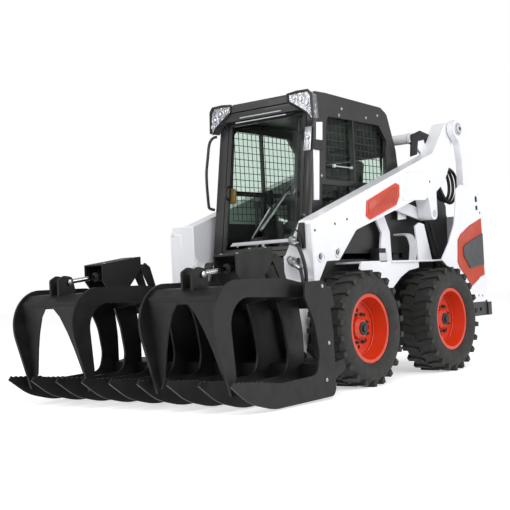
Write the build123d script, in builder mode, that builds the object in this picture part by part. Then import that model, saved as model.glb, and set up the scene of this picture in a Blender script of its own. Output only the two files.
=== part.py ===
"""Skid steer loader with a root grapple: separate pieces, one shared frame.

Millimetres, +Z up, the front looks along -Y and the machine's left is +X.
The profiles are drawn with y = 0 at the front axle; save() moves every piece
so that the middle of the whole machine lies over the origin.
"""
import os
from math import atan2, cos, hypot, pi, radians, sin, tan

from build123d import *

os.makedirs("parts", exist_ok=True)

# ---- driving dimensions ---------------------------------------------------
WHEELBASE = 1082.0
TYRE_R = 373.0
TYRE_W = 262.0
WHEEL_X = 673.0            # middle of a tyre
RIM_R = 222.0
RIM_FACE = 95.0            # how deep the wheel disc lies behind the rim's edge
TIP_Y = -1550.0            # tips of the rake tines
FRONT_Y = -1562.0          # foremost bend of the claws
TUB_REAR = 1800.0            # back of the tub
REAR_Y = TUB_REAR + 90       # back of the bumper
MID_Y = (FRONT_Y + REAR_Y) / 2

TUB_X = 400.0              # outer face of the tub's side plates
TUB_T = 10.0
BELLY_Z = 186.0
SHELF_Z = 795.0            # underside of the mudguard shelf
CHEEK_X = 700.0            # outer face of the tower cheek

ARM_IN, ARM_OUT = 500.0, 610.0      # lift arm box, inner and outer face
LEG_IN, LEG_OUT = 375.0, 505.0      # lower leg
FRONT_LINK_X = (478.0, 494.0)
REAR_LINK_X = (618.0, 672.0)
CYL_X = 440.0              # plane of the lift cylinders
TILT_X = 315.0             # plane of the tilt cylinders

CAB_X = 420.0              # half width of the cab
CAB_WALL = 30.0

# pins, as (y, z)
ARM_PIN = (1535.0, 1800.0)          # rear link to lift arm
TAB_PIN = (1215.0, 1150.0)          # front link to lift arm
FRONT_LINK_PIN = (600.0, 1270.0)    # front link to machine
REAR_LINK_PIN = (1540.0, 960.0)     # rear link to machine
LIFT_BASE = (1620.0, 620.0)
LIFT_EYE = (1240.0, 1380.0)
HINGE = (-400.0, 214.0)             # quick attach to lift arm
TILT_BASE = (-265.0, 820.0)
CLAW_PIN = (-760.0, 645.0)
CLAW_BASE = (-715.0, 830.0)
CLAW_EYE = (-1370.0, 757.0)

PIN_R = 18.0
PIN_FIT = 1.0              # radial clearance round a pin
GAP = 6.0

RAKE_X = 914.0             # outer face of the end plates
PLATE = 12.0

# the quick attach leans: its foot and the unit vectors up it and behind it
FOOT = (-474.0, 94.0)
LEAN = radians(13.2)
UP = (-sin(LEAN), cos(LEAN))
BACK = (cos(LEAN), sin(LEAN))
TILT_EYE_UV = (258.0, 80.0)


def on_attach(u, v):
    """Point at height u up the quick attach and v behind its front face."""
    return (FOOT[0] + u * UP[0] + v * BACK[0], FOOT[1] + u * UP[1] + v * BACK[1])


TILT_EYE = on_attach(*TILT_EYE_UV)


# ---- helpers --------------------------------------------------------------
def save(part, label):
    """Move a piece into the shared frame and write it."""
    moved = Pos(0, -MID_Y, 0) * part
    moved.label = label
    export_step(moved, f"parts/{label}.step")


def trace(points):
    """Closed line through corners (a, b) or (a, b, radius), each radius a tangent arc."""
    bends = []
    for number, corner in enumerate(points):
        here = Vector(*corner[:2])
        if len(corner) == 2:
            bends.append((here, here, here))
            continue
        before = (Vector(*points[number - 1][:2]) - here).normalized()
        after = (Vector(*points[(number + 1) % len(points)][:2]) - here).normalized()
        half = radians(before.get_angle(after)) / 2
        middle = here + (before + after).normalized() * corner[2] * (1 / sin(half) - 1)
        reach = corner[2] / tan(half)
        bends.append((here + before * reach, middle, here + after * reach))
    for number, (enter, middle, leave) in enumerate(bends):
        if (leave - enter).length > 0.01:
            ThreePointArc(enter, middle, leave)
        Line(leave, bends[(number + 1) % len(bends)][0])


def slab(points, x_from, x_to, mode=Mode.ADD):
    """A plate or block whose side view is a closed line of (y, z) corners."""
    with BuildSketch(Plane.YZ.offset(x_from)) as sketch:
        with BuildLine():
            trace(points)
        make_face()
    extrude(sketch.sketch, amount=x_to - x_from, mode=mode)


def disc(centre, radius, x_from, x_to, mode=Mode.ADD):
    """A round bar, boss or bore across the machine at a (y, z) point."""
    with BuildSketch(Plane.YZ.offset(x_from)) as sketch:
        with Locations(centre):
            Circle(radius)
    extrude(sketch.sketch, amount=x_to - x_from, mode=mode)


def bar(start, end, r_start, r_end, x_from, x_to, mode=Mode.ADD):
    """A link with two round ends, seen from the side."""
    length = hypot(end[0] - start[0], end[1] - start[1])
    angle = atan2(end[1] - start[1], end[0] - start[0])
    tip = atan2(r_start - r_end, length)
    corners = []
    for centre, radius, turn in ((start, r_start, pi / 2 - tip), (end, r_end, pi / 2 - tip),
                                 (end, r_end, tip - pi / 2), (start, r_start, tip - pi / 2)):
        corners.append((centre[0] + radius * cos(angle + turn), centre[1] + radius * sin(angle + turn)))
    slab(corners, x_from, x_to, mode)
    disc(start, r_start, x_from, x_to, mode)
    disc(end, r_end, x_from, x_to, mode)


def block(x_from, x_to, y_from, y_to, z_from, z_to, mode=Mode.ADD):
    """A square block between two corners."""
    with Locations(((x_from + x_to) / 2, (y_from + y_to) / 2, (z_from + z_to) / 2)):
        Box(x_to - x_from, y_to - y_from, z_to - z_from, mode=mode)


def other_side(part):
    """The same piece on the machine's right."""
    return mirror(part, about=Plane.YZ)


def along(start, end, distance):
    """The point at a distance from start towards end."""
    length = hypot(end[0] - start[0], end[1] - start[1])
    return (start[0] + (end[0] - start[0]) * distance / length,
            start[1] + (end[1] - start[1]) * distance / length)


# ---- wheels ---------------------------------------------------------------
LUGS = 22
LUG_H = 13.0
BEAD_R = RIM_R - 14.0
BEAD_X = TYRE_W / 2 - 35.0
BOLTS = 8
BOLT_PCD = 236.0
HUB_R = 90.0
SHAFT_R = 35.0
STUB_END = TUB_X + 60.0


def lug_blocks():
    """The tread lugs of one tyre: two rows, half a pitch apart, leaning like a chevron."""
    body = TYRE_R - LUG_H
    half = TYRE_W / 2
    lugs = []
    for side, turn in ((1, 0.0), (-1, 0.5)):
        for number in range(LUGS):
            angle = radians(360.0 * (number + turn) / LUGS)
            seat = Plane(origin=(0, 0, 0), x_dir=(1, 0, 0), z_dir=(0, -sin(angle), cos(angle)))
            with BuildSketch(seat.offset(body - 24)) as tread:
                with BuildLine():
                    Polyline((side * 4, -26), (side * 70, -8), (side * (half - 3), -8),
                             (side * (half - 3), 26), (side * 66, 26), (side * 4, 6), close=True)
                make_face()
            lugs.append(extrude(tread.sketch, amount=24 + LUG_H - 1.0))
    return lugs


def make_tyre():
    """Tyre on the axle line x = WHEEL_X, y = 0, z = TYRE_R, with its lugs."""
    half = TYRE_W / 2
    body = TYRE_R - LUG_H
    flank = (half, (RIM_R + body) / 2 + 20)
    lugs = lug_blocks()
    with BuildPart() as tyre:
        with BuildSketch(Plane.XY):
            with BuildLine():
                Polyline((-BEAD_X - 12, RIM_R + 3), (-BEAD_X, RIM_R + 1), (-BEAD_X, BEAD_R), (BEAD_X, BEAD_R),
                         (BEAD_X, RIM_R + 1), (BEAD_X + 12, RIM_R + 3))
                ThreePointArc((BEAD_X + 12, RIM_R + 3), flank, (half - 14, body - 18))
                Polyline((half - 14, body - 18), (half - 34, body), (34 - half, body), (14 - half, body - 18))
                ThreePointArc((14 - half, body - 18), (-flank[0], flank[1]), (-BEAD_X - 12, RIM_R + 3))
            make_face()
        revolve(axis=Axis.X)
        add(lugs)
    return Pos(WHEEL_X, 0, TYRE_R) * tyre.part


def make_rim():
    """Rim, wheel disc with its holes, hub cap and the hub flange behind it."""
    seat = BEAD_R - 0.5
    lip = BEAD_X + 8
    face = 778.0 - RIM_FACE - WHEEL_X
    with BuildPart() as rim:
        with BuildSketch(Plane.XY):
            with BuildLine():
                Polyline((lip, RIM_R), (BEAD_X + 0.5, RIM_R), (BEAD_X + 0.5, seat), (-BEAD_X - 0.5, seat),
                         (-BEAD_X - 0.5, RIM_R), (-lip, RIM_R), (-lip, seat - 8), (-20, seat - 20),
                         (-8, 165), (face - 12, 150), (face - 12, 0), (face + 40, 0), (face + 40, 52),
                         (face + 22, 72), (face, 76), (face, 152), (10, seat - 30), (lip, seat - 8), close=True)
            make_face()
        revolve(axis=Axis.X)
        with BuildSketch(Plane.YZ.offset(face - 30)):
            with PolarLocations(BOLT_PCD / 2, BOLTS):
                Circle(15)
        extrude(amount=60, mode=Mode.SUBTRACT)
        disc((0, 0), HUB_R, STUB_END + GAP - WHEEL_X, face - 5)
        disc((0, 0), SHAFT_R, TUB_X + 15 - WHEEL_X, face - 5)
    return Pos(WHEEL_X, 0, TYRE_R) * rim.part


# ---- chassis --------------------------------------------------------------
TUB_FRONT = -200.0
TUB_SIDE = [(TUB_FRONT, 260), (TUB_FRONT + 90, BELLY_Z), (TUB_REAR - 320, BELLY_Z),
            (TUB_REAR - 40, 300), (TUB_REAR, 480), (TUB_REAR, 1150), (TUB_REAR - 100, 1290), (1330, 1290),
            (1110, 1204), (1075, 1204), (1075, 830), (TUB_FRONT, 830)]


def make_main_frame():
    """Tub with side plates, belly, cross plates, axle housings and cylinder bosses."""
    with BuildPart() as frame:
        slab(TUB_SIDE, -TUB_X, TUB_X)
        inside = [(TUB_FRONT + 10, 264), (TUB_FRONT + 94, BELLY_Z + 10), (TUB_REAR - 322, BELLY_Z + 10),
                  (TUB_REAR - 48, 308), (TUB_REAR - 10, 486), (TUB_REAR + 40, 600),
                  (TUB_REAR + 40, 1400), (1000, 1400), (1000, 900), (TUB_FRONT + 10, 900)]
        slab(inside, -TUB_X + TUB_T, TUB_X - TUB_T, mode=Mode.SUBTRACT)
        block(-TUB_X, TUB_X, 1060, 1070, BELLY_Z + 5, 825)
        for x in (-200, 140):
            block(x, x + 60, 1180, 1470, BELLY_Z + 5, 300)
        for side in (-1, 1):
            for y in (0, WHEELBASE):
                inner, outer = sorted((side * (TUB_X - 5), side * STUB_END))
                disc((y, TYRE_R), 62, inner, outer)
                inner, outer = sorted((side * (TUB_X + 8), side * (STUB_END + 5)))
                disc((y, TYRE_R), SHAFT_R + PIN_FIT, inner, outer, mode=Mode.SUBTRACT)
            inner, outer = sorted((side * (TUB_X - 5), side * (CYL_X - 34)))
            disc(LIFT_BASE, 46, inner, outer)
            inner, outer = sorted((side * (TUB_X - 5), side * (CYL_X + 34)))
            disc(LIFT_BASE, PIN_R, inner, outer)
            inner, outer = sorted((side * (TUB_X - 60), side * TUB_X))
            for y in (-90, 950):
                block(inner, outer, y, y + 80, 820, SILL_Z)
            inner, outer = sorted((side * 330, side * (TUB_X - 5)))
            slab([(1075, 1190), (1064, 1240), (1068, 1256), (1077, 1256), (1083, 1240), (1083, 1190)],
                 *sorted((side * 375, side * (TUB_X - 5))))
            disc(HOOD_PIN, 7, inner, outer)
    return frame.part


CHEEK = [(1409, 1330, 20), (1470, 1366, 40), (1560, 1362, 60), (TUB_REAR - 7, 1303, 14), (TUB_REAR - 10, 1205, 20),
         (TUB_REAR + 24, 1144, 20), (TUB_REAR + 16, 791, 60), (TUB_REAR + 30, 555, 30), (TUB_REAR - 15, 470, 20),
         (1583, 470, 16), (1520, 580, 90), (1370, 712, 160), (1196, 758, 60), (1127, 803, 8), (1247, 924, 80),
         (1350, 1070, 120)]


def make_side_frame():
    """Tower cheek, mudguard shelf, wheel gusset and the post of the front link (left)."""
    with BuildPart() as side:
        slab(CHEEK, CHEEK_X - 10, CHEEK_X)
        block(TUB_X, 625, 560, 1430, SHELF_Z, SHELF_Z + PLATE)
        block(505, CHEEK_X - 5, 1130, TUB_REAR, SHELF_Z, SHELF_Z + PLATE)
        block(TUB_X, CHEEK_X - 5, TUB_REAR - PLATE, TUB_REAR, 480, 900)
        block(TUB_X, 600, TUB_REAR - PLATE, TUB_REAR, 895, 1150)
        for z in GATE_HINGES:
            for ear_z in (z - 45, z + 20):
                block(GATE_PIN[0] - 11, GATE_PIN[0] + 14, TUB_REAR - 5, GATE_PIN[1] + 14, ear_z, ear_z + 25)
            with Locations((*GATE_PIN, z)):
                Cylinder(8, 70)
        slab([(167, 756), (190, 800), (942, 800), (942, 752), (800, 735), (685, 690), (535, 594), (400, 640)],
             600, PLATE + 600)
        block(TUB_X, 612, 190, 570, SHELF_Z, SHELF_Z + PLATE)
        slab([(640, 800), (810, 800), (800, 1020), (650, 1280), (552, 1280), (570, 1180), (690, 1010)],
             456, 470)
        disc(FRONT_LINK_PIN, 48, 456, 470)
        disc(FRONT_LINK_PIN, PIN_R, 460, 498)
        slab([(1085, 800), (1286, 800), (1189, 1075), (1120, 1085), (1060, 1060)], 520, 532)
        disc(REAR_LINK_PIN, 60, CHEEK_X - 18, CHEEK_X - 5)
    return side.part


TIE_DOWN = (TUB_REAR - 80, 412.0)
TIE_R = 16.0


def make_bumper():
    """Black beam across the back under the tailgate, with its side brackets."""
    with BuildPart() as bumper:
        block(-CHEEK_X, CHEEK_X, TUB_REAR + 32, REAR_Y, 362, 464)
        for x, top in ((10 - CHEEK_X, 480), (TUB_X, 468)):
            block(x, x + 30, TUB_REAR - 200, TUB_REAR + 40, 362, top)
            block(-x - 30, -x, TUB_REAR - 200, TUB_REAR + 40, 362, top)
        disc(TIE_DOWN, TIE_R, -CHEEK_X - 5, CHEEK_X + 5, mode=Mode.SUBTRACT)
    return bumper.part


# ---- engine, tailgate, hood -----------------------------------------------
def make_engine():
    """The engine as one plain block on the tub's rails."""
    with BuildPart() as engine:
        block(-240, 240, 1180, TUB_REAR - 110, 300, 880)
    return engine.part


HOOD = [(1090, 1222), (1330, 1298), (TUB_REAR - 96, 1298), (TUB_REAR - 4, 1170), (TUB_REAR - 4, 1236),
        (TUB_REAR - 88, 1344), (1320, 1344),
        (1090, 1262)]
HOOD_PIN = (1072.0, 1247.0)
GATE_FRONT = TUB_REAR + 3.0
GATE_T = 52.0
GATE_PIN = (417.0, TUB_REAR + 50)          # x, y of the tailgate's hinge
GATE_HINGES = (600.0, 1020.0)


def make_hood():
    """Engine hood with its grille slots."""
    with BuildPart() as hood:
        slab(HOOD, -TUB_X + 5, TUB_X - 5)
        for side in (-1, 1):
            inner, outer = sorted((side * 325, side * 368))
            disc(HOOD_PIN, 14, inner, outer)
            slab([(HOOD_PIN[0], 1236), (HOOD_PIN[0], 1258), (1110, 1262), (1110, 1236)], inner, outer)
            disc(HOOD_PIN, 8, inner - 5, outer + 5, mode=Mode.SUBTRACT)
        with Locations(*[(x, 1515, 1320) for x in range(-300, 301, 60)]):
            Box(34, 330, 120, mode=Mode.SUBTRACT)
    return hood.part


def make_tailgate():
    """Tailgate with its louvres."""
    with BuildPart() as gate:
        slab([(GATE_FRONT, 482), (GATE_FRONT, 1140), (GATE_FRONT + 20, 1140), (GATE_FRONT + GATE_T, 1085),
              (GATE_FRONT + GATE_T, 482)], -TUB_X + 2, TUB_X - 2)
        for z in GATE_HINGES:
            with Locations((-GATE_PIN[0], GATE_PIN[1], z)):
                Cylinder(12, 28)
            block(-GATE_PIN[0], -TUB_X + 5, GATE_PIN[1] - 8, GATE_PIN[1] + 5, z - 14, z + 14)
            with Locations((-GATE_PIN[0], GATE_PIN[1], z)):
                Cylinder(9, 40, mode=Mode.SUBTRACT)
        with Locations(*[(0, GATE_FRONT + GATE_T, z) for z in range(620, 1000, 42)]):
            Box(560, 50, 22, mode=Mode.SUBTRACT)
    return gate.part


# ---- cab --------------------------------------------------------------------
SILL_Z, ROOF_Z = 870.0, 1898.0
FRONT_FOOT, FRONT_TOP = -120.0, 28.0       # y of the front plane at SILL_Z and at 1800
FRONT_SLOPE = (FRONT_TOP - FRONT_FOOT) / (1800.0 - SILL_Z)
DOOR_X, DOOR_Z = 345.0, (905.0, 1840.0)
DOOR_GAP = 6.0
DOOR_T = 24.0
DOOR_HINGES = (1080.0, 1660.0)
HINGE_X, HINGE_AHEAD = 342.0, 9.0
DOOR_PIN_R = 5.0


def front_y(z):
    """y of the cab's sloping front plane at a height."""
    return FRONT_FOOT + (z - SILL_Z) * FRONT_SLOPE


def on_front(z, ahead):
    """Point (y, z) a distance ahead of the front plane."""
    turn = hypot(1, FRONT_SLOPE)
    return (front_y(z) - ahead / turn, z + ahead * FRONT_SLOPE / turn)


def hinge_plane(z):
    """Plane across the door's hinge line at a height."""
    return Plane(origin=(HINGE_X, *on_front(z, HINGE_AHEAD)), x_dir=(1, 0, 0), z_dir=(0, FRONT_SLOPE, 1))


def door_knuckle(z, length, radius=9.0, mode=Mode.ADD):
    """A round knuckle on the door's hinge line, its middle at height z."""
    with Locations(hinge_plane(z)):
        Cylinder(radius, length, mode=mode)


def make_cab_frame():
    """Cab shell: pillars, side walls with windows, back wall, floor and seat box."""
    with BuildPart() as cab:
        slab([(FRONT_FOOT, SILL_Z), (FRONT_TOP, 1800), (FRONT_TOP, ROOF_Z), (905, ROOF_Z), (926, 1880),
              (1026, 1631), (1047, 1484), (1050, SILL_Z)], -CAB_X, CAB_X)
        slab([(front_y(905) + 30, 905), (front_y(1780) + 30, 1780), (58, ROOF_Z - 30), (886, ROOF_Z - 30),
              (996, 1625), (1017, 1480), (1020, 905)], CAB_WALL - CAB_X, CAB_X - CAB_WALL, mode=Mode.SUBTRACT)
        slab([(-300, DOOR_Z[0]), (-300, DOOR_Z[1]), (70, DOOR_Z[1]), (-40, DOOR_Z[0])],
             -DOOR_X, DOOR_X, mode=Mode.SUBTRACT)
        for window in (FRONT_WINDOW, REAR_WINDOW):
            slab(window, -CAB_X - 5, CAB_X + 5, mode=Mode.SUBTRACT)
        block(-BACK_WINDOW_X, BACK_WINDOW_X, 900, 1100, *BACK_WINDOW_Z, mode=Mode.SUBTRACT)
        block(-250, 250, 430, 860, 900, 1000)
        for x in (-370, 300):
            block(x, x + 70, 380, 560, 900, 1150)
        for side in (-1, 1):
            disc(LAP_PIN, 10, *sorted((side * 330, side * (CAB_X - CAB_WALL + 5))))
        for z in DOOR_HINGES:
            for offset in (-45, 45):
                door_knuckle(z + offset, 30)
                slab([on_front(z + offset - 14, 12), on_front(z + offset + 14, 12),
                      on_front(z + offset + 14, -1), on_front(z + offset - 14, -1)], HINGE_X + 6, DOOR_X + 12)
            slab([on_front(z - 60, 5), on_front(z + 60, 5), on_front(z + 60, -1), on_front(z - 60, -1)],
                 DOOR_X + 8, DOOR_X + 36)
            door_knuckle(z, 120, DOOR_PIN_R)
    return cab.part


FRONT_WINDOW = [(122, 1370, 30), (175, 1775, 50), (420, 1785, 50), (440, 1370, 30)]
REAR_WINDOW = [(500, 1400, 30), (500, 1785, 30), (800, 1778, 60), (884, 1680, 60), (855, 1450, 60), (790, 1400, 60)]
BACK_WINDOW_X = 290.0
BACK_WINDOW_Z = (1240.0, 1590.0)


def make_roof():
    """Roof panel with the visor between the lamps."""
    with BuildPart() as roof:
        slab([(-50, ROOF_Z), (-50, ROOF_Z + 38), (-26, ROOF_Z + 58), (147, ROOF_Z + 60), (841, ROOF_Z + 31),
              (905, ROOF_Z)], -CAB_X, CAB_X)
        for x in (-CAB_X - 5, 250):
            block(x, x + 175, -60, FRONT_TOP, ROOF_Z - 10, ROOF_Z + 100, mode=Mode.SUBTRACT)
    return roof.part


def make_lamp():
    """Work lamp in the front corner of the roof (left)."""
    with BuildPart() as lamp:
        with BuildSketch(Plane.XZ.offset(48)) as face:
            with BuildLine():
                Polyline((250, ROOF_Z + 52), (412, ROOF_Z + 54), (436, ROOF_Z + 27), (444, ROOF_Z - 123),
                         (428, ROOF_Z - 130), (396, ROOF_Z - 86), (262, ROOF_Z + 2), close=True)
            make_face()
        extrude(face.sketch, amount=-48 - 22.5)
    return lamp.part


def make_door():
    """Front door frame, lying in the sloping opening."""
    low, high = DOOR_Z[0] + DOOR_GAP, DOOR_Z[1] - DOOR_GAP
    with BuildPart() as door:
        slab([(front_y(low), low), (front_y(high), high), (front_y(high) + DOOR_T, high),
              (front_y(low) + DOOR_T, low)], DOOR_GAP - DOOR_X, DOOR_X - DOOR_GAP)
        block(-PANE_X, PANE_X, -300, 200, *PANE_Z, mode=Mode.SUBTRACT)
        for z in DOOR_HINGES:
            slab([on_front(z - 24, 5), on_front(z + 24, 5), on_front(z + 24, -1), on_front(z - 24, -1)],
                 HINGE_X - 40, HINGE_X - 6)
            slab([on_front(z - 24, 12), on_front(z + 24, 12), on_front(z + 24, -1), on_front(z - 24, -1)],
                 HINGE_X - 16, HINGE_X - 6)
            door_knuckle(z, 48)
            door_knuckle(z, 60, DOOR_PIN_R + PIN_FIT, mode=Mode.SUBTRACT)
    return door.part


PANE_X = 285.0
PANE_Z = (965.0, 1790.0)
PANE_T = 6.0


def make_door_glass():
    """Pane of the front door."""
    low, high = PANE_Z
    with BuildPart() as glass:
        slab([(front_y(low) + 9, low), (front_y(high) + 9, high), (front_y(high) + 9 + PANE_T, high),
              (front_y(low) + 9 + PANE_T, low)], -PANE_X, PANE_X)
    return glass.part


def make_side_screen():
    """Glazed screen lying against the inside of the side windows (left)."""
    inner = CAB_X - CAB_WALL
    with BuildPart() as screen:
        slab([(100, 1350), (155, 1800), (800, 1800), (905, 1700), (880, 1440), (820, 1380), (440, 1350)],
             inner - 8, inner)
    return screen.part


def make_rear_glass():
    """Rear window pane."""
    with BuildPart() as glass:
        block(-BACK_WINDOW_X, BACK_WINDOW_X, 1026, 1032, *BACK_WINDOW_Z)
    return glass.part


def make_seat():
    """Seat cushion and backrest in one plain form."""
    with BuildPart() as seat:
        slab([(400, 1000), (380, 1090), (410, 1125), (760, 1110), (840, 1580), (880, 1600), (930, 1580),
              (880, 1040), (840, 1000)], -230, 230)
    return seat.part


LAP_X = 290.0
LAP_PIN = (900.0, 1330.0)


def make_lap_bar():
    """Lap bar: two arms from the cab walls and the bar over the operator's knees."""
    with BuildPart() as bar_part:
        for side in (-1, 1):
            inner, outer = sorted((side * (LAP_X - 12), side * (LAP_X + 12)))
            bar(LAP_PIN, (480, 1290), 16, 16, inner, outer)
            inner, outer = sorted((side * (LAP_X + 10), side * (CAB_X - CAB_WALL - 12)))
            disc(LAP_PIN, 18, inner, outer)
            inner, outer = sorted((side * 325, side * CAB_X))
            disc(LAP_PIN, 10 + PIN_FIT, inner, outer, mode=Mode.SUBTRACT)
        disc((480, 1290), 16, -LAP_X, LAP_X)
    return bar_part.part


def make_lever():
    """Joystick on the console (left)."""
    with BuildPart() as lever:
        disc((470, 1170), 20, 320, 350)
        bar((470, 1170), (455, 1290), 9, 9, 326, 344)
        bar((455, 1290), (450, 1360), 20, 22, 316, 354)
    return lever.part


# ---- lift gear --------------------------------------------------------------
BOOM = [(-345, 1072, 28), (1235, 1600, 120), (1455, 1848, 70), (1600, 1862, 50), (1596, 1752, 40),
        (1520, 1665, 70), (1478, 1505, 120), (1395, 1392, 120), (1262, 1312, 14), (1262, 1104, 46),
        (1178, 1104, 40), (1134, 1294, 60), (150, 1016, 80), (-62, 818, 40), (-205, 815, 20),
        (-300, 690, 20), (-345, 690)]
LEG = [(-345, 860), (-345, 700, 60), (-452, 225, 20), (-432, 165, 44), (-354, 165, 34), (-262, 480, 120),
       (-215, 700, 60), (-215, 860)]
HINGE_R = 20.0
TORQUE_TUBE = (1150.0, 1720.0)
FRONT_TUBE = (-300.0, 400.0)


def make_lift_arms():
    """Both lift arms with their legs, cross tubes and pins: one weldment."""
    with BuildPart() as arm:
        slab(BOOM, ARM_IN, ARM_OUT)
        slab(LEG, LEG_IN, LEG_OUT)
        disc(HINGE, HINGE_R + PIN_FIT, LEG_IN - 5, LEG_OUT + 5, mode=Mode.SUBTRACT)
        with BuildSketch(Plane.XZ.offset(345)) as gusset:
            with BuildLine():
                Polyline((505, 1066), (505, 820), (LEG_IN, 820), (LEG_IN + 5, 850), close=True)
            make_face()
        extrude(gusset.sketch, amount=-30)
        disc(ARM_PIN, PIN_R + 4, ARM_OUT - 5, REAR_LINK_X[1] + 8)
        disc(TAB_PIN, PIN_R, 476, ARM_IN + 5)
        disc(TILT_BASE, PIN_R, TILT_X - 37, LEG_IN + 5)
        slab([(1110, 1690), (1150, 1762), (1200, 1770), (1360, 1700), (1290, 1590), (1170, 1670)], 484, ARM_IN + 5)
    with BuildPart() as arms:
        add(arm.part)
        add(other_side(arm.part))
        disc(TORQUE_TUBE, 38, -490, 490)
        disc(FRONT_TUBE, 42, -LEG_IN - 5, LEG_IN + 5)
    return arms.part


def make_front_link():
    """Front link between machine and the arm's tab (left)."""
    with BuildPart() as link:
        bar(FRONT_LINK_PIN, TAB_PIN, 46, 42, *FRONT_LINK_X)
        for pin in (FRONT_LINK_PIN, TAB_PIN):
            disc(pin, PIN_R + PIN_FIT, FRONT_LINK_X[0] - 5, FRONT_LINK_X[1] + 5, mode=Mode.SUBTRACT)
    return link.part


REAR_LINK = [(1462, 1770, 20), (1555, 1690, 80), (1580, 1540, 120), (1576, 1337, 200), (1491, 968), (1587, 945),
             (1672, 1387, 200), (1697, 1654, 120), (1680, 1815, 50), (1600, 1856, 30)]


def make_rear_link():
    """Rear link between machine and the top of the lift arm (left)."""
    with BuildPart() as link:
        slab(REAR_LINK, *REAR_LINK_X)
        disc(ARM_PIN, 70, *REAR_LINK_X)
        disc(REAR_LINK_PIN, 50, *REAR_LINK_X)
        disc(ARM_PIN, PIN_R + 4 + PIN_FIT, REAR_LINK_X[0] - 5, REAR_LINK_X[1] + 5, mode=Mode.SUBTRACT)
    return link.part


def make_barrel(base, eye, x, radius, bore, length, eye_r, pin_r, grip):
    """Cylinder barrel: eye round the pin at base, tube towards eye, open at the gland."""
    start = along(base, eye, eye_r)
    axis = Plane(origin=(x, *base), x_dir=(1, 0, 0), z_dir=(0, eye[0] - base[0], eye[1] - base[1]))
    with BuildPart() as barrel:
        with BuildSketch(axis.offset(eye_r * 0.6)) as tube:
            Circle(radius)
        extrude(tube.sketch, amount=length - eye_r * 0.6)
        with BuildSketch(axis.offset(eye_r + 6)) as hollow:
            Circle(bore)
        extrude(hollow.sketch, amount=length, mode=Mode.SUBTRACT)
        disc(base, eye_r, x - grip, x + grip)
        if pin_r:
            disc(base, pin_r, x - grip - 5, x + grip + 5, mode=Mode.SUBTRACT)
    return barrel.part


def make_rod(base, eye, x, radius, tail, eye_r, grip):
    """Piston rod from tail (measured from base) to its eye."""
    axis = Plane(origin=(x, *base), x_dir=(1, 0, 0), z_dir=(0, eye[0] - base[0], eye[1] - base[1]))
    length = hypot(eye[0] - base[0], eye[1] - base[1])
    with BuildPart() as rod:
        with BuildSketch(axis.offset(tail)) as round_bar:
            Circle(radius)
        extrude(round_bar.sketch, amount=length - tail)
        disc(eye, eye_r, x - grip, x + grip)
    return rod.part


# ---- quick attach and grapple -----------------------------------------------
ATTACH_X = 534.0             # clears the front tyres at full dump
EAR_IN = (352.0, 366.0)
EAR_OUT = (511.0, 525.0)
ROD_WINDOW = [on_attach(130, -20), on_attach(425, -20), on_attach(425, 25), on_attach(130, 25)]
ROD_NOTCH = [on_attach(130, -5), on_attach(475, -5), on_attach(475, 50), on_attach(130, 50)]
ROD_WINDOW_W = 78.0
ROD_WINDOW_X = (-TILT_X - ROD_WINDOW_W / 2, TILT_X - ROD_WINDOW_W / 2)


def make_quick_attach():
    """Quick attach plate with its ears, hinge pins and rails."""
    with BuildPart() as attach:
        slab([on_attach(10, 0), on_attach(470, 0), on_attach(470, 16), on_attach(10, 16)], -ATTACH_X, ATTACH_X)
        for x in ROD_WINDOW_X:
            slab(ROD_NOTCH, x, x + ROD_WINDOW_W, mode=Mode.SUBTRACT)
        slab([on_attach(440, 10), on_attach(470, 10), on_attach(470, 45), on_attach(452, 45)], -270, 270)
        slab([on_attach(10, 10), on_attach(30, 10), on_attach(24, 60), on_attach(10, 60)], -330, 330)
        for side in (-1, 1):
            for ear in (EAR_IN, EAR_OUT):
                inner, outer = sorted((side * ear[0], side * ear[1]))
                slab([on_attach(25, 10), on_attach(60, 110), on_attach(140, 125), on_attach(300, 92),
                      on_attach(350, 10)], inner, outer)
                disc(HINGE, 46, inner, outer)
            inner, outer = sorted((side * (EAR_IN[0] - 6), side * (EAR_OUT[1] + 4)))
            disc(HINGE, HINGE_R, inner, outer)
    return attach.part


RAKE_BACK = [(-611, 380, 500), (-611, 20, 50)]
TYRE_HEEL = [(-611, 380, 500), (-611, 105, 40), (-700, 16, 60)]
SOLE = [(-1200, 10, 400), (-1400, 62, 400), (TIP_Y, 168)]
TOOTH_PITCH, TOOTH_H = 19.0, 7.0
TEETH = [(TIP_Y + 20 + TOOTH_PITCH * step, 185 - 0.08 * TOOTH_PITCH * step + (0 if step % 2 else TOOTH_H))
         for step in range(14)]
THROAT = [(-1130, 145, 300), (-790, 156, 70), (-757, 270, 150), (-790, 450, 300)]
END_PLATE = [(-640, 640, 60), *RAKE_BACK, *SOLE, *TEETH, *THROAT, (-878, 610, 60), (-868, 690, 24),
             (-690, 694, 50)]
OUTER_TINE = [(-648, 590), *TYRE_HEEL, *SOLE, *TEETH, *THROAT, (-838, 575)]
TINE = [on_attach(540, 0), FOOT, (-490, 20, 40), *SOLE, *TEETH, *THROAT, (-838, 575), (-650, 590)]
TINE_X = (0.0, 228.6, 457.2)
OUTER_TINE_X = 685.8
TINE_T = 16.0
CLAW_TINES = (280.0, 820.0)
CLAW_MID = 550.0


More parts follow.
